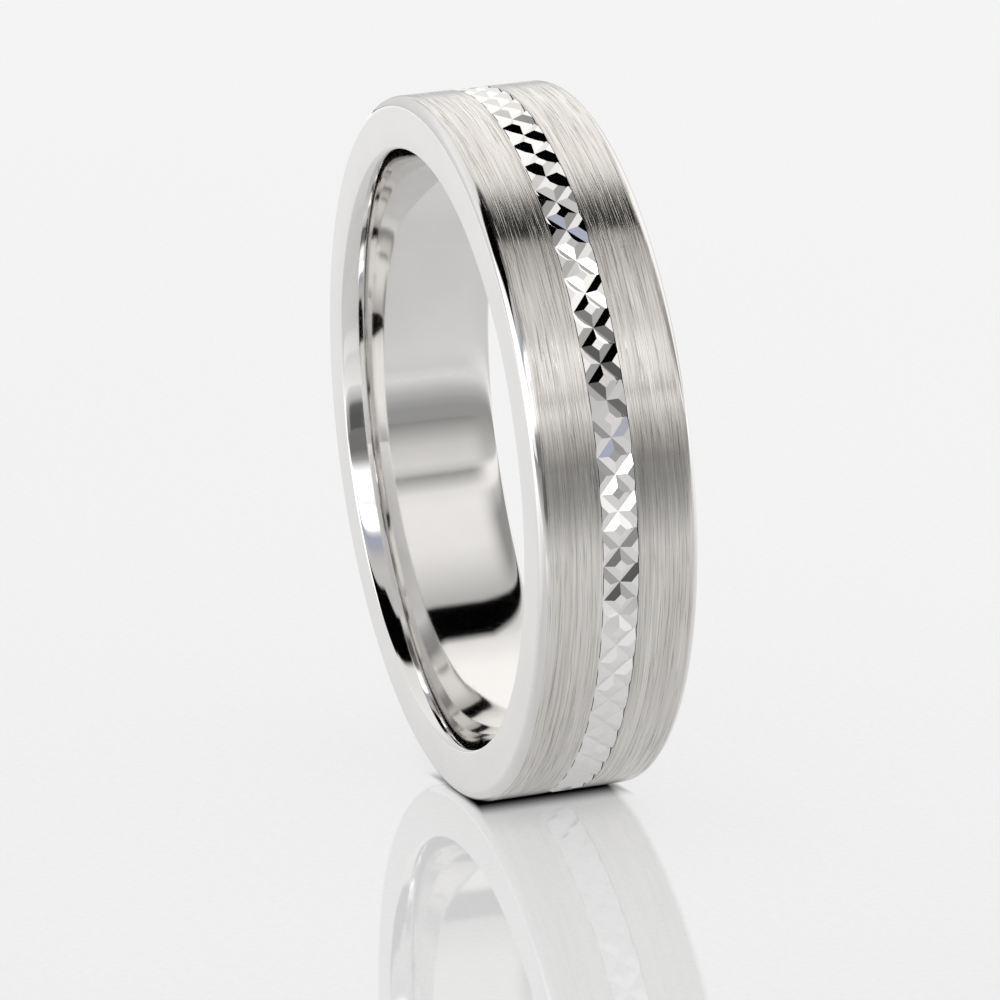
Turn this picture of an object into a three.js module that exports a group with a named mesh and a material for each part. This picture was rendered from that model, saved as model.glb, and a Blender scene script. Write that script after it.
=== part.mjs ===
// Wedding band in white precious metal: two brushed rails and a diamond-cut centre ring on a polished liner.
// Millimetres. The band stands on its rim: its axis is Y, Z is up, and the origin is the centre of the bore.
import * as THREE from 'three';

// Whole band
const OUTER_DIAMETER = 22.0;
const BORE_DIAMETER = 18.3; // across the straight middle of the bore
const BAND_WIDTH = 5.0;
const RIM_BEVEL = 0.22; // polished bevel between a rail's brushed face and its side face
const COMFORT_DEPTH = 0.3; // the comfort-fit bore opens out by this much at each side face
const COMFORT_REACH = 1.7; // width of each part of the bore that opens out
const COMFORT_STEPS = 8;

// Assembly
const LINER_WALL = 0.9;
const SOLDER_THICKNESS = 0.04;
const SOLDER_CLEARANCE = 0.01; // between a solder film and the metal on each side of it
const SOLDER_SET_BACK = 0.12; // from a solder film's end to the face that it stops short of
const CHANNEL_WIDTH = 1.12; // from rail to rail
const SHOULDER_GAP = 0.025; // fine joint line between the centre ring and each rail

// Diamond-cut pattern: two families of straight V-grooves that cross on the middle line and near both edges
const FACET_COUNT = 62;
const GROOVE_DEPTH = 0.125;
const GROOVE_SLOPE = THREE.MathUtils.degToRad(27);
const EDGE_CROSSING = 0.49; // from the middle line to the crossings near an edge

// Worked out from the sizes above
const OUTER_RADIUS = OUTER_DIAMETER / 2;
const BORE_RADIUS = BORE_DIAMETER / 2;
const HALF_WIDTH = BAND_WIDTH / 2;
const LINER_RADIUS = BORE_RADIUS + LINER_WALL;
const SEAT_RADIUS = LINER_RADIUS + SOLDER_THICKNESS + 2 * SOLDER_CLEARANCE;
const HALF_CHANNEL = CHANNEL_WIDTH / 2;
const HALF_CENTRE = HALF_CHANNEL - SHOULDER_GAP;
const HALF_PITCH = Math.PI / FACET_COUNT;
const SEGMENTS = 2 * FACET_COUNT;
const FIRST_ANGLE = HALF_PITCH / 2; // sets a flat of every turned ring, not an edge, at the lowest point

const point = (x, y) => new THREE.Vector2(x, y);

function metal(color, roughness) {
  return new THREE.MeshStandardMaterial({ color, roughness, metalness: 1.0 });
}

function namedMesh(name, geometry, material) {
  const mesh = new THREE.Mesh(geometry, material);
  mesh.name = name;
  return mesh;
}

// Turns a closed profile of (radius, y) points round the band's axis. The profile runs up its outer side.
function turned(profile) {
  return new THREE.LatheGeometry([...profile, profile[0].clone()], SEGMENTS, FIRST_ANGLE);
}

// Inner sleeve that touches the finger. Its bore is straight in the middle and opens out as a quarter of an
// ellipse towards each end, and its ends are flush with the rails.
function linerGeometry() {
  const profile = [point(LINER_RADIUS, -HALF_WIDTH), point(LINER_RADIUS, HALF_WIDTH)];
  for (const side of [1, -1]) {
    for (let step = 0; step <= COMFORT_STEPS; step += 1) {
      const share = side > 0 ? step : COMFORT_STEPS - step;
      const turn = (Math.PI / 2) * (share / COMFORT_STEPS);
      const radius = BORE_RADIUS + COMFORT_DEPTH * (1 - Math.sin(turn));
      const height = HALF_WIDTH - COMFORT_REACH * (1 - Math.cos(turn));
      profile.push(point(radius, side * height));
    }
  }
  return turned(profile);
}

// Outer ring on one side of the centre ring, with one bevelled rim. side is -1 for the front, 1 for the rear.
function railGeometry(side) {
  const profile = [
    point(SEAT_RADIUS, HALF_CHANNEL),
    point(OUTER_RADIUS, HALF_CHANNEL),
    point(OUTER_RADIUS, HALF_WIDTH - RIM_BEVEL),
    point(OUTER_RADIUS - RIM_BEVEL, HALF_WIDTH),
    point(SEAT_RADIUS, HALF_WIDTH),
  ];
  if (side > 0) {
    return turned(profile);
  }
  return turned(profile.map((corner) => point(corner.x, -corner.y)).reverse());
}

// Thin film of solder between the liner and the ring over it, from one y to the other.
function solderGeometry(fromY, toY) {
  const inner = LINER_RADIUS + SOLDER_CLEARANCE;
  const outer = inner + SOLDER_THICKNESS;
  return turned([point(outer, fromY), point(outer, toY), point(inner, toY), point(inner, fromY)]);
}

function ringPoint(angle, y, radius) {
  return new THREE.Vector3(radius * Math.sin(angle), y, radius * Math.cos(angle));
}

// Angle at which a plane meets the circle of this radius at this y, on the side of positive angles.
function angleOnCircle(plane, y, radius) {
  const reach = Math.hypot(plane.normal.x, plane.normal.z);
  const lean = Math.atan2(plane.normal.x, plane.normal.z);
  const cosine = (-plane.constant - plane.normal.y * y) / (radius * reach);
  const swing = Math.acos(cosine);
  const choices = [lean + swing, lean - swing].map((angle) => Math.atan2(Math.sin(angle), Math.cos(angle)));
  return Math.min(...choices.filter((angle) => angle > 0));
}

// Corners of the pattern about one crossing on the middle line, which is at angle 0 here.
function cutCorners() {
  const floor = OUTER_RADIUS - GROOVE_DEPTH;
  const edgeFloor = floor / Math.cos(HALF_PITCH); // the grooves are straight, so they rise slightly
  const reachX = floor * Math.tan(HALF_PITCH);
  const grooveAngle = Math.atan2(EDGE_CROSSING, reachX);
  const facetRun = GROOVE_DEPTH / Math.tan(GROOVE_SLOPE);
  const crossing = ringPoint(0, 0, floor);
  const edgeCrossing = ringPoint(HALF_PITCH, EDGE_CROSSING, edgeFloor);

  const landY = facetRun / Math.cos(grooveAngle);
  const outerPlane = new THREE.Plane();
  outerPlane.setFromCoplanarPoints(crossing, edgeCrossing, ringPoint(0, landY, OUTER_RADIUS));
  const landAngle = angleOnCircle(outerPlane, HALF_CENTRE, OUTER_RADIUS);
  const sine = Math.sin(HALF_PITCH);
  const cosine = Math.cos(HALF_PITCH);
  const radial = outerPlane.normal.x * sine + outerPlane.normal.z * cosine;
  const notchRadius = (-outerPlane.constant - outerPlane.normal.y * HALF_CENTRE) / radial;

  const tableAngle = facetRun / Math.sin(grooveAngle) / OUTER_RADIUS;
  const innerPlane = new THREE.Plane();
  innerPlane.setFromCoplanarPoints(crossing, edgeCrossing, ringPoint(tableAngle, 0, OUTER_RADIUS));
  const across = innerPlane.normal.x * sine + innerPlane.normal.z * cosine;
  const tableY = (-innerPlane.constant - across * OUTER_RADIUS) / innerPlane.normal.y;

  return { floor, edgeFloor, landY, landAngle, notchRadius, tableAngle, tableY };
}

// Centre ring: a plain ring whose outer face is cut into rows of flat-topped pyramids, all as flat facets.
function centreRingGeometry() {
  const corners = cutCorners();
  const positions = [];

  function addFace(...points) {
    for (let index = 1; index + 1 < points.length; index += 1) {
      for (const corner of [points[0], points[index], points[index + 1]]) {
        positions.push(corner.x, corner.y, corner.z);
      }
    }
  }

  // A face is listed for the side of positive y, and its mirror image on the other side runs the other way.
  function addMirrored(side, points) {
    addFace(...(side > 0 ? points : [...points].reverse()));
  }

  for (let cell = 0; cell < FACET_COUNT; cell += 1) {
    const here = FIRST_ANGLE + (2 * cell + 1) * HALF_PITCH;
    const next = here + 2 * HALF_PITCH;
    const middle = here + HALF_PITCH;
    const before = here - HALF_PITCH;
    const crossing = ringPoint(here, 0, corners.floor);
    const nextCrossing = ringPoint(next, 0, corners.floor);
    const tableStart = ringPoint(here + corners.tableAngle, 0, OUTER_RADIUS);
    const tableEnd = ringPoint(next - corners.tableAngle, 0, OUTER_RADIUS);

    for (const side of [1, -1]) {
      const edgeY = side * HALF_CENTRE;
      const edgeCrossing = ringPoint(middle, side * EDGE_CROSSING, corners.edgeFloor);
      const edgeBefore = ringPoint(before, side * EDGE_CROSSING, corners.edgeFloor);
      const tableSide = ringPoint(middle, side * corners.tableY, OUTER_RADIUS);
      addMirrored(side, [crossing, tableStart, tableSide, edgeCrossing]);
      addMirrored(side, [edgeCrossing, tableSide, tableEnd, nextCrossing]);
      addMirrored(side, [tableStart, tableEnd, tableSide]);

      const landTip = ringPoint(here, side * corners.landY, OUTER_RADIUS);
      const landAfter = ringPoint(here + corners.landAngle, edgeY, OUTER_RADIUS);
      const landBefore = ringPoint(here - corners.landAngle, edgeY, OUTER_RADIUS);
      const notch = ringPoint(middle, edgeY, corners.notchRadius);
      const notchBefore = ringPoint(before, edgeY, corners.notchRadius);
      addMirrored(side, [crossing, edgeCrossing, notch, landAfter, landTip]);
      addMirrored(side, [crossing, landTip, landBefore, notchBefore, edgeBefore]);
      addMirrored(side, [landTip, landAfter, landBefore]);

      const seatHere = ringPoint(here, edgeY, SEAT_RADIUS);
      const seatBefore = ringPoint(before, edgeY, SEAT_RADIUS);
      const seatAfter = ringPoint(middle, edgeY, SEAT_RADIUS);
      addMirrored(side, [seatHere, seatBefore, notchBefore, landBefore, landAfter, notch, seatAfter]);
    }

    for (const [from, to] of [[before, here], [here, middle]]) {
      const low = [ringPoint(from, -HALF_CENTRE, SEAT_RADIUS), ringPoint(to, -HALF_CENTRE, SEAT_RADIUS)];
      const high = [ringPoint(from, HALF_CENTRE, SEAT_RADIUS), ringPoint(to, HALF_CENTRE, SEAT_RADIUS)];
      addFace(low[0], high[0], high[1], low[1]);
    }
  }

  const geometry = new THREE.BufferGeometry();
  geometry.setAttribute('position', new THREE.Float32BufferAttribute(positions, 3));
  geometry.computeVertexNormals();
  return geometry;
}

const brushedMetal = metal(0xb9b6b1, 0.42);
const polishedMetal = metal(0xd6d5d3, 0.08);
const facetedMetal = metal(0xe2e1e0, 0.05);
const solderMetal = metal(0xc9c6bf, 0.3);

const railEnd = HALF_WIDTH - SOLDER_SET_BACK;
const railStart = HALF_CHANNEL + SOLDER_SET_BACK;
const centreEnd = HALF_CENTRE - SOLDER_SET_BACK;

const weddingBand = new THREE.Group();
weddingBand.add(
  namedMesh('comfort_liner', linerGeometry(), polishedMetal),
  namedMesh('front_rail', railGeometry(-1), brushedMetal),
  namedMesh('rear_rail', railGeometry(1), brushedMetal),
  namedMesh('faceted_centre_ring', centreRingGeometry(), facetedMetal),
  namedMesh('front_rail_solder', solderGeometry(-railEnd, -railStart), solderMetal),
  namedMesh('rear_rail_solder', solderGeometry(railStart, railEnd), solderMetal),
  namedMesh('centre_ring_solder', solderGeometry(-centreEnd, centreEnd), solderMetal),
);

export default weddingBand;
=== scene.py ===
"""White precious-metal wedding band: brushed rails, a diamond-cut centre ring and a polished comfort liner.

Metres. The band stands on its rim: its axis is Y, Z is up, and the origin is the centre of the bore.
"""
import math

import bmesh
import bpy
from mathutils import Matrix, Vector


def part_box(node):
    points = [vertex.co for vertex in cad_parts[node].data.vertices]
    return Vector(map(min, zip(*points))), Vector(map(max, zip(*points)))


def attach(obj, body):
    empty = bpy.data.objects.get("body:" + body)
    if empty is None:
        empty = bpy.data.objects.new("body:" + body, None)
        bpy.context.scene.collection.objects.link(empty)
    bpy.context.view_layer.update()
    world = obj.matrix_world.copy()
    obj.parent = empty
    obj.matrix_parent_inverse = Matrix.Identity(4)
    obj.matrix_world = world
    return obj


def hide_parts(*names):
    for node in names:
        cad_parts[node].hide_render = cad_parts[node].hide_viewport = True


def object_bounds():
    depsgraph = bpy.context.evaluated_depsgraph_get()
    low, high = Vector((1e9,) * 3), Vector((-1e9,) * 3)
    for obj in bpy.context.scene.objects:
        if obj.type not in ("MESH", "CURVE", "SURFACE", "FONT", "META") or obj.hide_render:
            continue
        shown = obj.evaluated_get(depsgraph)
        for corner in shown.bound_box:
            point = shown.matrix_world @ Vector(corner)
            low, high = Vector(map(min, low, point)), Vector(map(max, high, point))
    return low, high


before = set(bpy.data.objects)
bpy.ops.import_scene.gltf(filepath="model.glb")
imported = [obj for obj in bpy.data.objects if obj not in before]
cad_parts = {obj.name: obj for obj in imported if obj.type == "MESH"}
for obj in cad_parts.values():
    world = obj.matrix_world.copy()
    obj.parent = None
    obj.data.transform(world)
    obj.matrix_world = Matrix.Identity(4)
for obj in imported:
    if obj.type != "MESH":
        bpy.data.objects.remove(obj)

MM = 0.001
CAD_LOW, CAD_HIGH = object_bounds()

# ---------------------------------------------------------------- sizes, from the imported model and given numbers
LINER_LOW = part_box("comfort_liner")[0]
RAIL_LOW, RAIL_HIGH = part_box("front_rail")

OUTER_RADIUS = -RAIL_LOW.z          # the flats of the CAD's turned rings, so the round shape fits inside
HALF_WIDTH = -LINER_LOW.y
HALF_CHANNEL = -RAIL_HIGH.y
JOINT_GAP = 0.016 * MM              # hair line between the centre ring and each rail
HALF_CENTRE = HALF_CHANNEL - JOINT_GAP
LINER_RADIUS = -LINER_LOW.z
BORE_RADIUS = 9.15 * MM             # in the straight middle of the bore
COMFORT_DEPTH = 0.3 * MM            # the bore opens out by this much at each side face
COMFORT_REACH = 1.7 * MM            # width of each part of the bore that opens out
COMFORT_STEPS = 40
RIM_BEVEL = 0.22 * MM
POLISH_START = RIM_BEVEL * 1.1      # from a side face to where the rail's brushing gives way to polish
SEAT_RADIUS = 10.11 * MM
LIP_DEPTH = 0.1 * MM                # the rails' lip closes the joint line at the side faces
BEVEL_ROUND = 0.34 * MM             # the bevels are rounded over until hardly any flat is left
BEVEL_STEPS = 10
WALL_BREAK = 0.012 * MM             # small rounding where a rail's rim meets its channel wall
WALL_STEPS = 3
HOLD_SHARE = 0.03                   # distance of a holding point from its arc, by the arc's radius
SPIN_STEPS = 720
SHARP_ANGLE = math.radians(25)      # turned edges bent by more than this are shaded sharp
WELD_DISTANCE = 0.0005 * MM

FACET_COUNT = 62
GROOVE_DEPTH = 0.125 * MM
GROOVE_SLOPE = math.radians(27)
EDGE_CROSSING = 0.49 * MM
HALF_PITCH = math.pi / FACET_COUNT
FIRST_ANGLE = HALF_PITCH / 2

# ---------------------------------------------------------------- finishes
STREAK_WIDTH = 0.032 * MM
STREAK_LENGTH = 4.0 * MM
SCRATCH_ONSET = (0.62, 0.72)        # noise values over which a lone scratch sets in
SCRATCH_TONE_AND_SHADE = 0.7                 # share of the colour that is left in a lone scratch: the metal's darker tone there plus painted shade in the groove
SCRATCH_DEPTH = 0.6                 # by the depth of the brushing
BRUSHED_DEPTH = 0.011 * MM
BRUSHED_ROUGHNESS = (0.20, 0.13)
BRUSHED_STRETCH = 0.95
BRUSHED_TURN = 0.25                 # of a full turn
SOLDER_RIPPLE = 0.01 * MM
SOLDER_ROUGHNESS = (0.45, 0.3)
HAIRLINE_WIDTH = 0.004              # as a band of noise values
HAIRLINE_ROUGHNESS = 0.03
HAZE_SHADE = 0.96
HAZE_ROUGHNESS = (0.7, 1.3)         # by the finish's own roughness
POLISH_DEPTH = 0.0005 * MM
LINER_POLISH = (0.05, (0.85, 0.84, 0.83, 1))
FACET_POLISH = (0.03, (0.92, 0.91, 0.905, 1))

# ---------------------------------------------------------------- camera and light
CAMERA_AZIMUTH = math.radians(73.08)
CAMERA_ELEVATION = math.radians(11.27)
CAMERA_ROLL = math.radians(-3.97)
CAMERA_DISTANCE = 196.5 * MM
CAMERA_LENS = 227.8
AIM_SIDE = -0.301 * MM
AIM_HEIGHT = -1.867 * MM

FLOOR_SIZE = 3.0
FLOOR_GRAIN = 4000.0
FLOOR_TONES = (0.285, 0.295)
FLOOR_ROUGHNESS = (0.03, 0.04)
FLOOR_GLOW = 1.52
FLOOR_IOR = 1.45
PAINTED_SHADOW_OUT = (1.6 * MM, 3.3 * MM)  # painted contact shadow: the floor's colour and glow are darkened inside these distances from the contact line
PAINTED_SHADOW_ASIDE = (HALF_WIDTH * 0.88, HALF_WIDTH)

FLAG_START = 27 * MM
FLAG_LIFT = 0.3 * MM                # height of the card over the floor
FLAG_REACH = 100                    # millimetres out over which the card's shades are spread
FLAG_SHADES = (                     # by millimetres out
    (27, 0.78),
    (30, 0.72),
    (36, 0.60),
    (43, 0.51),
    (63, 0.40),
    (100, 0.34),
)
HOOD_BEARING = -0.33                # a darker patch on the card lies at this share of y to x
HOOD_EDGE = (0.5, 0.2)
HOOD_OUT = (38 * MM, 55 * MM)
HOOD_LEFT = 0.33                    # share of the card's light that is left in the patch

# Tent: angles are degrees from the front horizon over the top, sides are the Y of a direction
PLAIN_SURROUND = (0.86, 0.86, 0.86, 1)
FRONT_TO_MIDDLE = (0.05, 0.22)
MIDDLE_TO_REAR = (0.40, 0.66)
KEY_RISE = (29.0, 32.0)
KEY_FALL = (41.0, 38.0)
KEY_SIDE_RISE = (-0.75, -0.6)
KEY_SIDE_FALL = (0.0, -0.08)
KEY_STRENGTH = 1.8
SLOT_START = (75.5, 78.5)
SLOT_END = 101.0
SLOT_END_SHEAR = 27.0               # the slot ends lower towards the rear side
SHEAR_FROM = 0.03
SLOT_END_FLARE = 60.0               # and higher at the far front side
FLARE_FROM = -0.5
SLOT_SOFTNESS = (-1.5, 2.5)
SLOT_DROP = 13.0                    # the slot starts lower on the front side
DROP_SIDE = (-0.05, -0.2)
SLOT_CLOSED = (-0.90, -0.84)        # no slot beyond this side, where a glow takes over
GLOW_STRENGTH = 0.8

WARM_TINT = (1.0, 0.985, 0.965)


def grey(brightness):
    return (brightness, brightness, brightness, 1)


def warm(brightness):
    return tuple(brightness * share for share in WARM_TINT) + (1,)


# What the tent shows at each angle: on the side that the front face looks to, then straight across, and on
# the side that the rear face looks to
FRONT_PANELS = (
    (0, grey(0.20)),
    (8, warm(0.19)),
    (12, grey(0.38)),
    (17, grey(1.40)),
    (26, grey(1.50)),
    (30, grey(0.95)),
    (40, grey(0.90)),
    (43, (0.42, 0.45, 0.56, 1)),
    (47, (0.44, 0.45, 0.50, 1)),
    (51, grey(0.56)),
    (57, warm(0.63)),
    (69, warm(0.56)),
    (100, (0.84, 0.84, 0.82, 1)),
    (140, grey(0.97)),
    (158, grey(0.80)),
    (180, grey(0.72)),
)
MIDDLE_PANELS = (
    (0, warm(0.29)),
    (4, warm(0.45)),
    (10, warm(0.68)),
    (17, warm(0.78)),
    (20, warm(0.65)),
    (22, warm(0.36)),
    (25, warm(0.59)),
    (29, warm(0.91)),
    (34, warm(0.97)),
    (52, warm(0.93)),
    (58, warm(0.84)),
    (69, warm(0.64)),
    (76, warm(0.51)),
    (92, warm(0.71)),
    (98, warm(0.93)),
    (110, warm(1.10)),
    (130, warm(1.12)),
    (150, warm(1.13)),
    (164, grey(1.05)),
    (169, grey(0.81)),
    (173, grey(0.66)),
    (180, grey(0.55)),
)
REAR_PANELS = (
    (0, warm(0.36)),
    (6, warm(0.44)),
    (12, warm(0.52)),
    (18, warm(0.60)),
    (22, warm(1.05)),
    (29, warm(0.98)),
    (33, warm(0.62)),
    (44, warm(0.33)),
    (66, warm(0.33)),
    (75, warm(0.48)),
    (98, warm(1.14)),
    (150, warm(1.14)),
    (164, grey(1.05)),
    (180, grey(0.60)),
)


# ---------------------------------------------------------------- helpers for nodes
class Graph:
    """Places nodes in a tree and links them by socket name."""

    def __init__(self, tree):
        self.tree = tree

    def node(self, kind, inputs=None, **settings):
        made = self.tree.nodes.new(kind)
        for name, value in settings.items():
            setattr(made, name, value)
        for name, value in (inputs or {}).items():
            socket = made.inputs[name]
            if isinstance(value, bpy.types.NodeSocket):
                self.tree.links.new(value, socket)
            else:
                socket.default_value = value
        return made

    def link(self, source, target):
        self.tree.links.new(source, target)

    def maths(self, operation, *values):
        made = self.tree.nodes.new("ShaderNodeMath")
        made.operation = operation
        for socket, value in zip(made.inputs, values):
            if isinstance(value, bpy.types.NodeSocket):
                self.tree.links.new(value, socket)
            else:
                socket.default_value = value
        return made.outputs[0]


def shader_group(name, inputs, outputs):
    """An empty shader node group with named float and vector sockets, and its graph."""
    tree = bpy.data.node_groups.new(name, "ShaderNodeTree")
    for title, kind, value in inputs:
        socket = tree.interface.new_socket(title, in_out="INPUT", socket_type=kind)
        if value is not None:
            socket.default_value = value
    for title, kind in outputs:
        tree.interface.new_socket(title, in_out="OUTPUT", socket_type=kind)
    graph = Graph(tree)
    return tree, graph, graph.node("NodeGroupInput").outputs, graph.node("NodeGroupOutput").inputs


def brushing_group():
    """Fine scratches that run round the band, from a belt held against the turning blank."""
    tree, g, given, out = shader_group(
        "circular_brushing",
        [
            ("Vector", "NodeSocketVector", None),
            ("Band Radius", "NodeSocketFloat", 0.011),
            ("Streak Width", "NodeSocketFloat", 0.00004),
            ("Streak Length", "NodeSocketFloat", 0.003),
        ],
        [("Height", "NodeSocketFloat"), ("Tone", "NodeSocketFloat"), ("Scratches", "NodeSocketFloat")],
    )
    place = g.node("ShaderNodeSeparateXYZ", {"Vector": given["Vector"]}).outputs
    arc = g.maths("MULTIPLY", g.maths("ARCTAN2", place["X"], place["Z"]), given["Band Radius"])

    def streaks(slant, wider, longer, seed):
        """Noise drawn out along the brushing, which leans by slant from the true round direction."""
        across = g.maths("ADD", place["Y"], g.maths("MULTIPLY", arc, slant))
        point = g.node("ShaderNodeCombineXYZ", {
            "X": g.maths("DIVIDE", g.maths("DIVIDE", arc, given["Streak Length"]), longer),
            "Y": g.maths("DIVIDE", g.maths("DIVIDE", across, given["Streak Width"]), wider),
            "Z": seed,
        })
        noise = g.node("ShaderNodeTexNoise", {"Vector": point.outputs[0], "Scale": 1.0, "Detail": 1.0})
        return noise.outputs["Fac"]

    fine = streaks(0.0, 1.0, 1.0, 1.0)
    leaning = streaks(0.015, 1.3, 0.8, 7.0)
    other_way = streaks(-0.01, 1.6, 0.9, 13.0)
    middle = streaks(0.01, 4.0, 1.8, 19.0)
    broad = streaks(0.0, 12.0, 3.0, 23.0)
    crossed = g.maths("ADD", g.maths("MULTIPLY", leaning, 0.5), g.maths("MULTIPLY", other_way, 0.5))
    height = g.maths("ADD", g.maths("MULTIPLY", fine, 0.5), g.maths("MULTIPLY", crossed, 0.5))
    g.link(height, out["Height"])
    slow = g.maths("ADD", g.maths("MULTIPLY", middle, 0.3), g.maths("MULTIPLY", broad, 0.2))
    g.link(g.maths("ADD", g.maths("MULTIPLY", height, 0.5), slow), out["Tone"])
    lone = g.maths("MAXIMUM", streaks(0.02, 1.3, 0.7, 31.0), streaks(-0.03, 1.3, 0.5, 37.0))
    deep = g.node("ShaderNodeMapRange", {
        "Value": lone,
        "From Min": SCRATCH_ONSET[0],
        "From Max": SCRATCH_ONSET[1],
    })
    g.link(deep.outputs["Result"], out["Scratches"])
    return tree


def hairline_group():
    """Sparse polishing hairlines in every direction, with slow haze between them."""
    tree, g, given, out = shader_group(
        "polish_hairlines",
        [("Vector", "NodeSocketVector", None), ("Scale", "NodeSocketFloat", 5000.0)],
        [("Hairlines", "NodeSocketFloat"), ("Haze", "NodeSocketFloat")],
    )
    found = []
    for turn in (0.3, 1.5, 2.6):
        mapping = g.node("ShaderNodeMapping", {"Vector": given["Vector"]})
        mapping.inputs["Rotation"].default_value = (turn, turn * 0.7, turn * 1.9)
        mapping.inputs["Scale"].default_value = (1.0, 0.12, 0.12)
        noise = g.node("ShaderNodeTexNoise", {
            "Vector": mapping.outputs[0],
            "Scale": given["Scale"],
            "Detail": 1.0,
        })
        off = g.maths("ABSOLUTE", g.maths("SUBTRACT", noise.outputs["Fac"], 0.5))
        found.append(g.maths("LESS_THAN", off, HAIRLINE_WIDTH))
    lines = g.maths("MAXIMUM", g.maths("MAXIMUM", found[0], found[1]), found[2])
    g.link(lines, out["Hairlines"])
    haze = g.node("ShaderNodeTexNoise", {"Vector": given["Vector"], "Scale": 450.0, "Detail": 3.0})
    g.link(haze.outputs["Fac"], out["Haze"])
    return tree


def material(name):
    made = bpy.data.materials.new(name)
    made.use_nodes = True
    made.node_tree.nodes.clear()
    g = Graph(made.node_tree)
    shader = g.node("ShaderNodeBsdfPrincipled")
    output = g.node("ShaderNodeOutputMaterial")
    g.link(shader.outputs[0], output.inputs["Surface"])
    place = g.node("ShaderNodeTexCoord").outputs["Object"]
    return made, g, shader.inputs, place


def ramp(g, value, stops):
    node = g.node("ShaderNodeValToRGB", {"Fac": value})
    elements = node.color_ramp.elements
    while len(elements) < len(stops):
        elements.new(0.5)
    for element, (position, colour) in zip(elements, stops):
        element.position = position
        element.color = colour
    return node.outputs["Color"]


def scaled(g, value, low, high):
    node = g.node("ShaderNodeMapRange", {"Value": value, "To Min": low, "To Max": high}, clamp=False)
    return node.outputs["Result"]


def darkened(g, colour, mask, least):
    """The colour, multiplied down to the share least where the mask is one."""
    share = scaled(g, mask, 1.0, least)
    mix = g.node("ShaderNodeVectorMath", {0: colour}, operation="SCALE")
    g.link(share, mix.inputs["Scale"])
    return mix.outputs[0]


def brushed_metal(brushing):
    made, g, shader, place = material("brushed_white_gold")
    group = g.node("ShaderNodeGroup", node_tree=brushing)
    g.link(place, group.inputs["Vector"])
    group.inputs["Band Radius"].default_value = OUTER_RADIUS
    group.inputs["Streak Width"].default_value = STREAK_WIDTH
    group.inputs["Streak Length"].default_value = STREAK_LENGTH
    tone, scratches = group.outputs["Tone"], group.outputs["Scratches"]
    colour = ramp(g, tone, [
        (0.36, (0.52, 0.502, 0.478, 1)),
        (0.5, (0.745, 0.722, 0.692, 1)),
        (0.62, (0.88, 0.858, 0.828, 1)),
    ])
    # lone scratches darken the base colour: partly the metal's own darker tone, partly painted shade in the
    # groove
    g.link(darkened(g, colour, scratches, SCRATCH_TONE_AND_SHADE), shader["Base Color"])
    g.link(scaled(g, tone, *BRUSHED_ROUGHNESS), shader["Roughness"])
    depth = g.maths("SUBTRACT", group.outputs["Height"], g.maths("MULTIPLY", scratches, SCRATCH_DEPTH))
    bump = g.node("ShaderNodeBump", {"Height": depth, "Strength": 1.0, "Distance": BRUSHED_DEPTH})
    g.link(bump.outputs[0], shader["Normal"])
    shader["Metallic"].default_value = 1.0
    shader["Anisotropic"].default_value = BRUSHED_STRETCH
    shader["Anisotropic Rotation"].default_value = BRUSHED_TURN
    tangent = g.node("ShaderNodeTangent", direction_type="RADIAL", axis="Y")
    g.link(tangent.outputs[0], shader["Tangent"])
    return made


def solder_metal():
    """Solder as it flowed: dull, a little yellow, with soft ripples."""
    made, g, shader, place = material("white_gold_solder")
    flow = g.node("ShaderNodeTexNoise", {"Vector": place, "Scale": 2500.0, "Detail": 4.0})
    colour = ramp(g, flow.outputs["Fac"], [(0.3, (0.66, 0.64, 0.60, 1)), (0.7, (0.76, 0.74, 0.70, 1))])
    g.link(colour, shader["Base Color"])
    g.link(scaled(g, flow.outputs["Fac"], *SOLDER_ROUGHNESS), shader["Roughness"])
    bump = g.node("ShaderNodeBump", {
        "Height": flow.outputs["Fac"],
        "Strength": 0.5,
        "Distance": SOLDER_RIPPLE,
    })
    g.link(bump.outputs[0], shader["Normal"])
    shader["Metallic"].default_value = 1.0
    return made


def polished_metal(name, hairlines, roughness, colour):
    made, g, shader, place = material(name)
    group = g.node("ShaderNodeGroup", node_tree=hairlines)
    g.link(place, group.inputs["Vector"])
    haze, lines = group.outputs["Haze"], group.outputs["Hairlines"]
    low = tuple(c * HAZE_SHADE for c in colour[:3]) + (1,)
    g.link(ramp(g, haze, [(0.3, low), (0.7, colour)]), shader["Base Color"])
    base = scaled(g, haze, *(roughness * share for share in HAZE_ROUGHNESS))
    g.link(g.maths("ADD", base, g.maths("MULTIPLY", lines, HAIRLINE_ROUGHNESS)), shader["Roughness"])
    depth = g.maths("SUBTRACT", g.maths("MULTIPLY", haze, 0.3), g.maths("MULTIPLY", lines, 0.1))
    bump = g.node("ShaderNodeBump", {"Height": depth, "Strength": 0.4, "Distance": POLISH_DEPTH})
    g.link(bump.outputs[0], shader["Normal"])
    shader["Metallic"].default_value = 1.0
    return made


# ---------------------------------------------------------------- turned pieces
def arc_corner(before, corner, after, radius, steps):
    """Points of a rounded corner, with one holding point on each side of the arc."""
    into = (corner - before).normalized()
    away = (after - corner).normalized()
    turn = into.angle(away)
    setback = radius * math.tan(turn / 2)
    start = corner - into * setback
    end = corner + away * setback
    inward = (away - into).normalized()
    centre = corner + inward * (radius / math.cos(turn / 2))
    points = []
    for i in range(steps + 1):
        t = i / steps
        spoke_a, spoke_b = start - centre, end - centre
        spoke = (spoke_a * math.sin((1 - t) * turn) + spoke_b * math.sin(t * turn)) / math.sin(turn)
        points.append(centre + spoke)
    hold = radius * HOLD_SHARE
    return [start - into * hold] + points + [end + away * hold]


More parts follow.
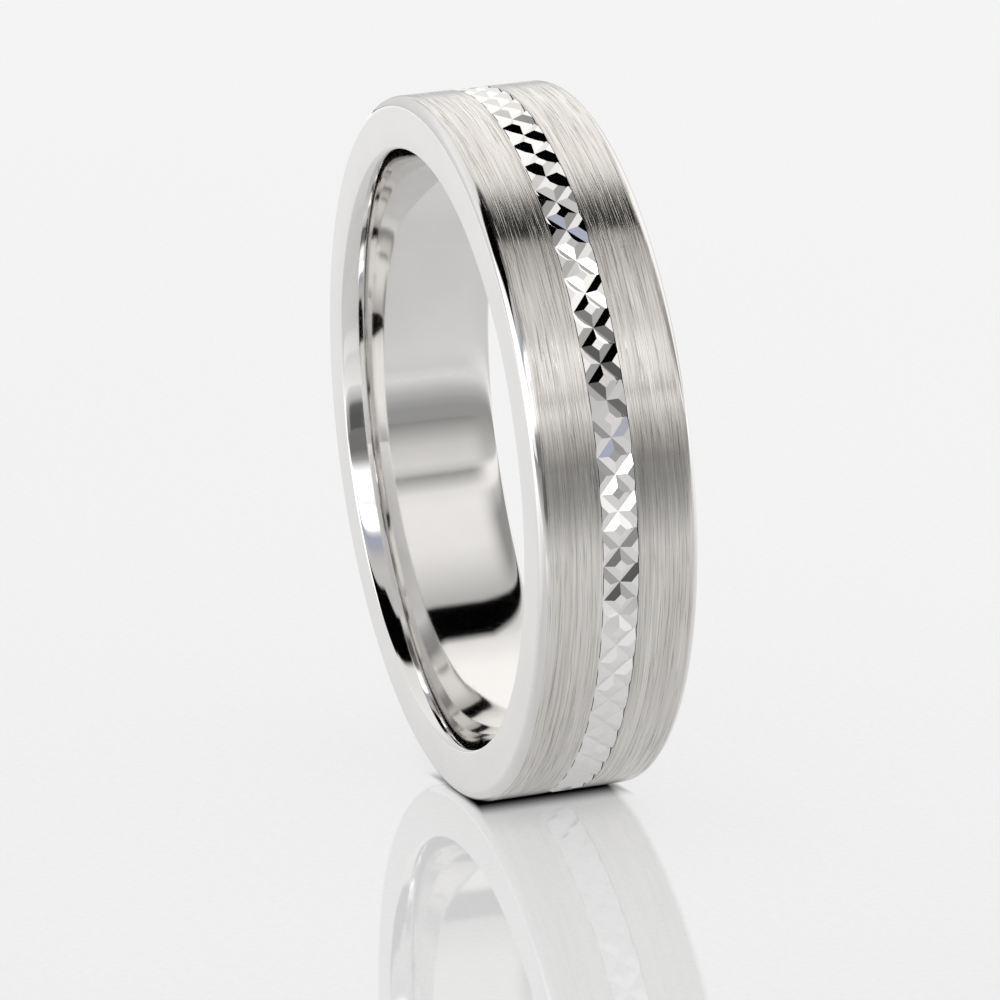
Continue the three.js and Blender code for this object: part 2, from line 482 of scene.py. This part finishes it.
def outline(corners):
    """A closed profile of (radius, y) points from corners given as (radius, y, rounding, steps)."""
    places = [Vector((r, y)) for r, y, _, _ in corners]
    points = []
    for i, (_, _, rounding, steps) in enumerate(corners):
        if rounding:
            following = places[(i + 1) % len(places)]
            points += arc_corner(places[i - 1], places[i], following, rounding, steps)
        else:
            points.append(places[i])
    return points


def spun(name, corners, finish):
    """Turns a closed profile round the Y axis into a smooth ring with outward faces."""
    profile = outline(corners)
    mesh = bpy.data.meshes.new(name)
    made = bmesh.new()
    rows = []
    for step in range(SPIN_STEPS):
        angle = 2 * math.pi * step / SPIN_STEPS
        rows.append([made.verts.new((p.x * math.sin(angle), p.y, p.x * math.cos(angle))) for p in profile])
    count = len(profile)
    for step in range(SPIN_STEPS):
        here, there = rows[step], rows[(step + 1) % SPIN_STEPS]
        for i in range(count):
            made.faces.new((here[i], here[(i + 1) % count], there[(i + 1) % count], there[i]))
    bmesh.ops.recalc_face_normals(made, faces=made.faces)
    for face in made.faces:
        face.smooth = True
    for edge in made.edges:
        edge.smooth = edge.calc_face_angle(0) < SHARP_ANGLE
    made.to_mesh(mesh)
    made.free()
    mesh.materials.append(finish)
    piece = bpy.data.objects.new(name, mesh)
    bpy.context.scene.collection.objects.link(piece)
    return piece


def comfort_edge(side):
    """Corners of the quarter ellipse by which the bore opens out towards one side face."""
    corners = []
    for step in range(COMFORT_STEPS + 1):
        turn = math.pi / 2 * step / COMFORT_STEPS
        radius = BORE_RADIUS + COMFORT_DEPTH * (1 - math.sin(turn))
        corners.append((radius, side * (HALF_WIDTH - COMFORT_REACH * (1 - math.cos(turn))), 0, 0))
    return corners


def finger_liner(finish):
    ends = [(LINER_RADIUS, -HALF_WIDTH, 0, 0), (LINER_RADIUS, HALF_WIDTH, 0, 0)]
    return spun("polished_liner", ends + comfort_edge(1) + comfort_edge(-1)[::-1], finish)


def rail(name, side, brushed, polished):
    """A side ring: brushed round its rim, polished on its bevel and side face."""
    corners = [
        (SEAT_RADIUS, side * HALF_CHANNEL, 0, 0),
        (OUTER_RADIUS, side * HALF_CHANNEL, WALL_BREAK, WALL_STEPS),
        (OUTER_RADIUS, side * (HALF_WIDTH - RIM_BEVEL), BEVEL_ROUND, BEVEL_STEPS),
        (OUTER_RADIUS - RIM_BEVEL, side * HALF_WIDTH, BEVEL_ROUND, BEVEL_STEPS),
        (LINER_RADIUS, side * HALF_WIDTH, 0, 0),
        (LINER_RADIUS, side * (HALF_WIDTH - LIP_DEPTH), 0, 0),
        (SEAT_RADIUS, side * (HALF_WIDTH - LIP_DEPTH), 0, 0),
    ]
    piece = spun(name, corners, brushed)
    piece.data.materials.append(polished)
    for face in piece.data.polygons:
        face.material_index = int(side * face.center.y > HALF_WIDTH - POLISH_START)
    return piece


# ---------------------------------------------------------------- diamond-cut centre ring
def ring_point(angle, y, radius):
    return Vector((radius * math.sin(angle), y, radius * math.cos(angle)))


class Cut:
    """Corner places of one cell of the pattern, where the cutter's planes meet the ring."""

    def __init__(self):
        floor = OUTER_RADIUS - GROOVE_DEPTH
        self.floor = floor
        self.edge_floor = floor / math.cos(HALF_PITCH)
        groove_angle = math.atan2(EDGE_CROSSING, floor * math.tan(HALF_PITCH))
        run = GROOVE_DEPTH / math.tan(GROOVE_SLOPE)
        self.tip_y = run / math.cos(groove_angle)
        self.table_angle = run / math.sin(groove_angle) / OUTER_RADIUS
        crossing = ring_point(0, 0, floor)
        edge = ring_point(HALF_PITCH, EDGE_CROSSING, self.edge_floor)
        outer, outer_at = self.plane(crossing, edge, ring_point(0, self.tip_y, OUTER_RADIUS))
        inner, inner_at = self.plane(crossing, edge, ring_point(self.table_angle, 0, OUTER_RADIUS))
        self.land_angle = self.angle_on(outer, outer_at)
        slope_there = outer.dot(ring_point(HALF_PITCH, 0, 1))
        self.notch_radius = (outer_at - outer.y * HALF_CENTRE) / slope_there
        self.table_y = (inner_at - inner.dot(ring_point(HALF_PITCH, 0, OUTER_RADIUS))) / inner.y

    @staticmethod
    def plane(a, b, c):
        normal = (b - a).cross(c - a).normalized()
        return normal, normal.dot(a)

    @staticmethod
    def angle_on(normal, at):
        """The angle at which a plane meets the strip's top edge."""
        rest = (at - normal.y * HALF_CENTRE) / OUTER_RADIUS
        size = math.hypot(normal.x, normal.z)
        return abs(math.atan2(normal.x, normal.z) - math.copysign(1, normal.z) * math.acos(rest / size))


def cell_mesh(metal, top):
    """One cell of the pattern, from crossing to crossing: facets, plateaus, side walls and seat."""
    cut = Cut()
    made = bmesh.new()

    def add(points, index=0):
        face = made.faces.new([made.verts.new(p) for p in points])
        face.material_index = index
        face.smooth = False

    for side in (1, -1):
        def at(angle, y, radius):
            return ring_point(angle, side * y, radius)

        crossing = at(0, 0, cut.floor)
        following = at(2 * HALF_PITCH, 0, cut.floor)
        edge = at(HALF_PITCH, EDGE_CROSSING, cut.edge_floor)
        edge_before = at(-HALF_PITCH, EDGE_CROSSING, cut.edge_floor)
        table_start = at(cut.table_angle, 0, OUTER_RADIUS)
        table_end = at(2 * HALF_PITCH - cut.table_angle, 0, OUTER_RADIUS)
        table_side = at(HALF_PITCH, cut.table_y, OUTER_RADIUS)
        tip = at(0, cut.tip_y, OUTER_RADIUS)
        land_after = at(cut.land_angle, HALF_CENTRE, OUTER_RADIUS)
        land_before = at(-cut.land_angle, HALF_CENTRE, OUTER_RADIUS)
        notch = at(HALF_PITCH, HALF_CENTRE, cut.notch_radius)
        notch_before = at(-HALF_PITCH, HALF_CENTRE, cut.notch_radius)
        seat = [at(a, HALF_CENTRE, SEAT_RADIUS) for a in (-HALF_PITCH, 0, HALF_PITCH)]
        middle = [at(a, 0, SEAT_RADIUS) for a in (-HALF_PITCH, 0, HALF_PITCH)]
        add([crossing, table_start, table_side, edge])
        add([edge, table_side, table_end, following])
        add([table_start, table_end, table_side], 1)
        add([crossing, edge, notch, land_after, tip])
        add([crossing, tip, land_before, notch_before, edge_before])
        add([tip, land_after, land_before], 1)
        add([seat[1], seat[0], notch_before, land_before, land_after, notch, seat[2]])
        add([seat[0], seat[1], middle[1], middle[0]])
        add([seat[1], seat[2], middle[2], middle[1]])
    mesh = bpy.data.meshes.new("pattern_cell")
    made.to_mesh(mesh)
    made.free()
    mesh.materials.append(metal)
    mesh.materials.append(top)
    return mesh


def repeat_round_tree(metal, top):
    """Geometry Nodes: repeats the cell round the Y axis and joins the copies into one ring."""
    tree = bpy.data.node_groups.new("repeat_round_axis", "GeometryNodeTree")
    tree.interface.new_socket("Geometry", in_out="INPUT", socket_type="NodeSocketGeometry")
    tree.interface.new_socket("Count", in_out="INPUT", socket_type="NodeSocketInt")
    tree.interface.new_socket("First Angle", in_out="INPUT", socket_type="NodeSocketFloat")
    tree.interface.new_socket("Weld Distance", in_out="INPUT", socket_type="NodeSocketFloat")
    tree.interface.new_socket("Geometry", in_out="OUTPUT", socket_type="NodeSocketGeometry")
    g = Graph(tree)
    given = g.node("NodeGroupInput").outputs
    places = g.node("GeometryNodePoints", {"Count": given["Count"]})
    step = g.maths("DIVIDE", 2 * math.pi, given["Count"])
    index = g.node("GeometryNodeInputIndex").outputs[0]
    angle = g.maths("ADD", g.maths("MULTIPLY", index, step), given["First Angle"])
    turn = g.node("ShaderNodeCombineXYZ", {"Y": angle})
    copies = g.node("GeometryNodeInstanceOnPoints", {
        "Points": places.outputs[0],
        "Instance": given["Geometry"],
        "Rotation": turn.outputs[0],
    })
    real = g.node("GeometryNodeRealizeInstances", {"Geometry": copies.outputs[0]})
    welded = g.node("GeometryNodeMergeByDistance", {
        "Geometry": real.outputs[0],
        "Distance": given["Weld Distance"],
    })
    slot = g.node("GeometryNodeInputMaterialIndex")
    is_top = g.node("FunctionNodeCompare", {2: slot.outputs[0], 3: 1}, data_type="INT", operation="EQUAL")
    cut = g.node("GeometryNodeSetMaterial", {"Geometry": welded.outputs[0], "Material": metal})
    brushed = g.node("GeometryNodeSetMaterial", {
        "Geometry": cut.outputs[0],
        "Selection": is_top.outputs[0],
        "Material": top,
    })
    out = g.node("NodeGroupOutput")
    g.link(brushed.outputs[0], out.inputs["Geometry"])
    return tree


def diamond_cut_ring(metal, top):
    source = bpy.data.objects.new("cell_source", cell_mesh(metal, top))
    bpy.context.scene.collection.objects.link(source)
    tree = repeat_round_tree(metal, top)
    modifier = source.modifiers.new("repeat", "NODES")
    modifier.node_group = tree
    sizes = {"Count": FACET_COUNT, "First Angle": FIRST_ANGLE + HALF_PITCH, "Weld Distance": WELD_DISTANCE}
    for item in tree.interface.items_tree:
        if item.in_out == "INPUT" and item.name in sizes:
            modifier[item.identifier] = sizes[item.name]
    graph = bpy.context.evaluated_depsgraph_get()
    mesh = bpy.data.meshes.new_from_object(source.evaluated_get(graph))
    source.modifiers.remove(modifier)
    bpy.data.objects.remove(source)
    mesh.name = "diamond_cut_ring"
    piece = bpy.data.objects.new("diamond_cut_ring", mesh)
    bpy.context.scene.collection.objects.link(piece)
    return piece


# ---------------------------------------------------------------- studio
def blended(g, share, first, second):
    mix = g.node("ShaderNodeMix", data_type="RGBA")
    g.link(share, mix.inputs["Factor"])
    g.link(first, mix.inputs[6])
    g.link(second, mix.inputs[7])
    return mix.outputs[2]


def between(g, value, low, high):
    """A soft step from 0 at low to 1 at high."""
    inputs = {"Value": value, "From Min": low, "From Max": high}
    return g.node("ShaderNodeMapRange", inputs, interpolation_type="SMOOTHSTEP").outputs["Result"]


def panel_ramp(g, turn, panels):
    return ramp(g, g.maths("DIVIDE", turn, 180.0), [(angle / 180, colour) for angle, colour in panels])


def slot_mask(g, turn, side):
    """One inside the open dark slot overhead, whose ends are set by the side that a direction points to."""
    shear = g.maths("MULTIPLY", g.maths("MAXIMUM", side, SHEAR_FROM), SLOT_END_SHEAR)
    flare = g.maths("MAXIMUM", g.maths("SUBTRACT", FLARE_FROM, side), 0.0)
    end = g.maths("ADD", g.maths("SUBTRACT", SLOT_END, shear), g.maths("MULTIPLY", flare, SLOT_END_FLARE))
    drop = g.maths("MULTIPLY", between(g, side, *DROP_SIDE), SLOT_DROP)
    begun = between(g, g.maths("ADD", turn, drop), *SLOT_START)
    past = g.node("ShaderNodeMapRange", {
        "Value": g.maths("SUBTRACT", turn, end),
        "From Min": SLOT_SOFTNESS[0],
        "From Max": SLOT_SOFTNESS[1],
    })
    inside = g.maths("MULTIPLY", begun, g.maths("SUBTRACT", 1.0, past.outputs["Result"]))
    return g.maths("MULTIPLY", inside, between(g, side, *SLOT_CLOSED))


def studio_world():
    """A pale light tent with graded panels, a key panel low on the front side and a dark slot overhead.

    Only mirrored rays see the panels. Everything else is lit by a plain pale surround.
    """
    world = bpy.data.worlds.new("light_tent")
    bpy.context.scene.world = world
    world.use_nodes = True
    world.node_tree.nodes.clear()
    g = Graph(world.node_tree)
    direction = g.node("ShaderNodeTexCoord").outputs["Generated"]
    split = g.node("ShaderNodeSeparateXYZ", {"Vector": direction}).outputs
    side = split["Y"]
    turn = g.maths("MULTIPLY", g.maths("ARCTAN2", split["Z"], split["X"]), 180 / math.pi)
    front, middle, rear = (panel_ramp(g, turn, p) for p in (FRONT_PANELS, MIDDLE_PANELS, REAR_PANELS))
    panels = blended(g, between(g, side, *FRONT_TO_MIDDLE), front, middle)
    panels = blended(g, between(g, side, *MIDDLE_TO_REAR), panels, rear)
    lit = g.node("ShaderNodeVectorMath", {0: panels}, operation="SCALE")
    g.link(g.maths("SUBTRACT", 1.0, slot_mask(g, turn, side)), lit.inputs["Scale"])
    key_turn = g.maths("MULTIPLY", between(g, turn, *KEY_RISE), between(g, turn, *KEY_FALL))
    key_side = g.maths("MULTIPLY", between(g, side, *KEY_SIDE_RISE), between(g, side, *KEY_SIDE_FALL))
    key = g.maths("MULTIPLY", g.maths("MULTIPLY", key_turn, key_side), KEY_STRENGTH)
    glow = g.maths("MULTIPLY", between(g, side, *reversed(SLOT_CLOSED)), GLOW_STRENGTH)
    bright = g.node("ShaderNodeVectorMath", {0: lit.outputs[0]}, operation="ADD")
    g.link(g.maths("ADD", key, glow), bright.inputs[1])
    tent = g.node("ShaderNodeBackground", {"Color": bright.outputs[0], "Strength": 1.0})
    plain = g.node("ShaderNodeBackground", {"Color": PLAIN_SURROUND, "Strength": 1.0})
    mirrored = g.node("ShaderNodeLightPath").outputs["Is Glossy Ray"]
    both = g.node("ShaderNodeMixShader", {"Fac": mirrored})
    g.link(plain.outputs[0], both.inputs[1])
    g.link(tent.outputs[0], both.inputs[2])
    g.link(both.outputs[0], g.node("ShaderNodeOutputWorld").inputs["Surface"])


def flat_sheet(name, near, far, half, level, finish):
    """A level sheet from x near to x far that reaches half to each side."""
    mesh = bpy.data.meshes.new(name)
    corners = [(near, -half, level), (far, -half, level), (far, half, level), (near, half, level)]
    mesh.from_pydata(corners, [], [(0, 1, 2, 3)])
    mesh.materials.append(finish)
    sheet = bpy.data.objects.new(name, mesh)
    bpy.context.scene.collection.objects.link(sheet)
    return sheet


def card_material():
    """A graded glow that only the upper side gives off. From below the card can't be seen."""
    made = bpy.data.materials.new("dim_card")
    made.use_nodes = True
    made.node_tree.nodes.clear()
    g = Graph(made.node_tree)
    place = g.node("ShaderNodeTexCoord").outputs["Object"]
    split = g.node("ShaderNodeSeparateXYZ", {"Vector": place}).outputs
    reach = g.node("ShaderNodeMapRange", {
        "Value": split["X"],
        "From Min": 0.0,
        "From Max": FLAG_REACH * MM,
    }).outputs["Result"]
    shade = ramp(g, reach, [(out / FLAG_REACH, grey(brightness)) for out, brightness in FLAG_SHADES])
    bearing = g.maths("SUBTRACT", g.maths("DIVIDE", split["Y"], split["X"]), HOOD_BEARING)
    facing = between(g, g.maths("ABSOLUTE", bearing), *HOOD_EDGE)
    hood = g.maths("MULTIPLY", facing, between(g, split["X"], *HOOD_OUT))
    glow = g.node("ShaderNodeEmission", {"Color": darkened(g, shade, hood, HOOD_LEFT), "Strength": 1.0})
    one_sided = g.node("ShaderNodeMixShader", {"Fac": g.node("ShaderNodeNewGeometry").outputs["Backfacing"]})
    g.link(glow.outputs[0], one_sided.inputs[1])
    g.link(g.node("ShaderNodeBsdfTransparent").outputs[0], one_sided.inputs[2])
    g.link(one_sided.outputs[0], g.node("ShaderNodeOutputMaterial").inputs["Surface"])
    return made


def front_flag():
    """A dim card that lies in front of the band, seen only by mirrored rays, where a table would end."""
    far = FLOOR_SIZE / 2
    flag = flat_sheet("front_flag", FLAG_START, far, far, CAD_LOW.z + FLAG_LIFT, card_material())
    flag.visible_camera = False
    flag.visible_diffuse = False
    flag.visible_shadow = False


def floor_material():
    """A pale glossy sheet with a faint glow, and a painted contact shadow that darkens its colour and glow in
    the narrow gap beside the contact line.
    """
    made, g, shader, place = material("pale_gloss_floor")
    noise = g.node("ShaderNodeTexNoise", {"Vector": place, "Scale": FLOOR_GRAIN, "Detail": 2.0})
    tint = ramp(g, noise.outputs["Fac"], [(0.3, grey(FLOOR_TONES[0])), (0.7, grey(FLOOR_TONES[1]))])
    g.link(scaled(g, noise.outputs["Fac"], *FLOOR_ROUGHNESS), shader["Roughness"])
    split = g.node("ShaderNodeSeparateXYZ", {"Vector": place}).outputs
    out, aside = g.maths("ABSOLUTE", split["X"]), g.maths("ABSOLUTE", split["Y"])
    # painted contact shadow: one outside it, falling to zero at the contact line, where the floor's colour and
    # glow are multiplied down to black
    outside_painted_shadow = g.maths("MAXIMUM", between(g, out, *PAINTED_SHADOW_OUT), between(g, aside, *PAINTED_SHADOW_ASIDE))
    colour = darkened(g, tint, g.maths("SUBTRACT", 1.0, outside_painted_shadow), 0.0)
    g.link(colour, shader["Base Color"])
    g.link(colour, shader["Emission Color"])
    shader["Emission Strength"].default_value = FLOOR_GLOW
    shader["IOR"].default_value = FLOOR_IOR
    return made


def studio_floor():
    half = FLOOR_SIZE / 2
    floor = flat_sheet("studio_floor", -half, half, half, CAD_LOW.z, floor_material())


def studio_camera():
    data = bpy.data.cameras.new("camera")
    camera = bpy.data.objects.new("camera", data)
    bpy.context.scene.collection.objects.link(camera)
    bpy.context.scene.camera = camera
    az, el = CAMERA_AZIMUTH, CAMERA_ELEVATION
    outward = Vector((math.sin(az) * math.cos(el), -math.cos(az) * math.cos(el), math.sin(el)))
    place = CAMERA_DISTANCE * outward
    aim = Vector((math.cos(az), math.sin(az), 0)) * AIM_SIDE + Vector((0, 0, AIM_HEIGHT))
    forward = (aim - place).normalized()
    level = forward.cross(Vector((0, 0, 1))).normalized()
    upright = level.cross(forward)
    right = math.cos(CAMERA_ROLL) * level + math.sin(CAMERA_ROLL) * upright
    up = -math.sin(CAMERA_ROLL) * level + math.cos(CAMERA_ROLL) * upright
    turned = Matrix((right, up, -forward)).transposed().to_4x4()
    camera.matrix_world = Matrix.Translation(place) @ turned
    data.sensor_width = 36.0
    data.lens = CAMERA_LENS
    data.clip_start = 0.01
    data.clip_end = 10.0


def build():
    brushing = brushing_group()
    hairlines = hairline_group()
    brushed = brushed_metal(brushing)
    polished = polished_metal("polished_white_gold", hairlines, *LINER_POLISH)
    faceted = polished_metal("diamond_cut_white_gold", hairlines, *FACET_POLISH)

    liner = finger_liner(polished)
    front = rail("front_brushed_rail", -1, brushed, polished)
    rear = rail("rear_brushed_rail", 1, brushed, polished)
    centre = diamond_cut_ring(faceted, brushed)
    for piece, node, slot in (
        (liner, "comfort_liner", "polished_white_gold"),
        (front, "front_rail", "brushed_white_gold"),
        (rear, "rear_rail", "brushed_white_gold"),
        (centre, "faceted_centre_ring", "diamond_cut_white_gold"),
    ):
        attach(piece, "root")
        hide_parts(node)
    solder = solder_metal()
    for node in ("front_rail_solder", "rear_rail_solder", "centre_ring_solder"):
        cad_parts[node].material_slots[0].material = solder


bpy.context.scene.view_settings.view_transform = "Standard"
build()
studio_world()
studio_floor()
front_flag()
studio_camera()
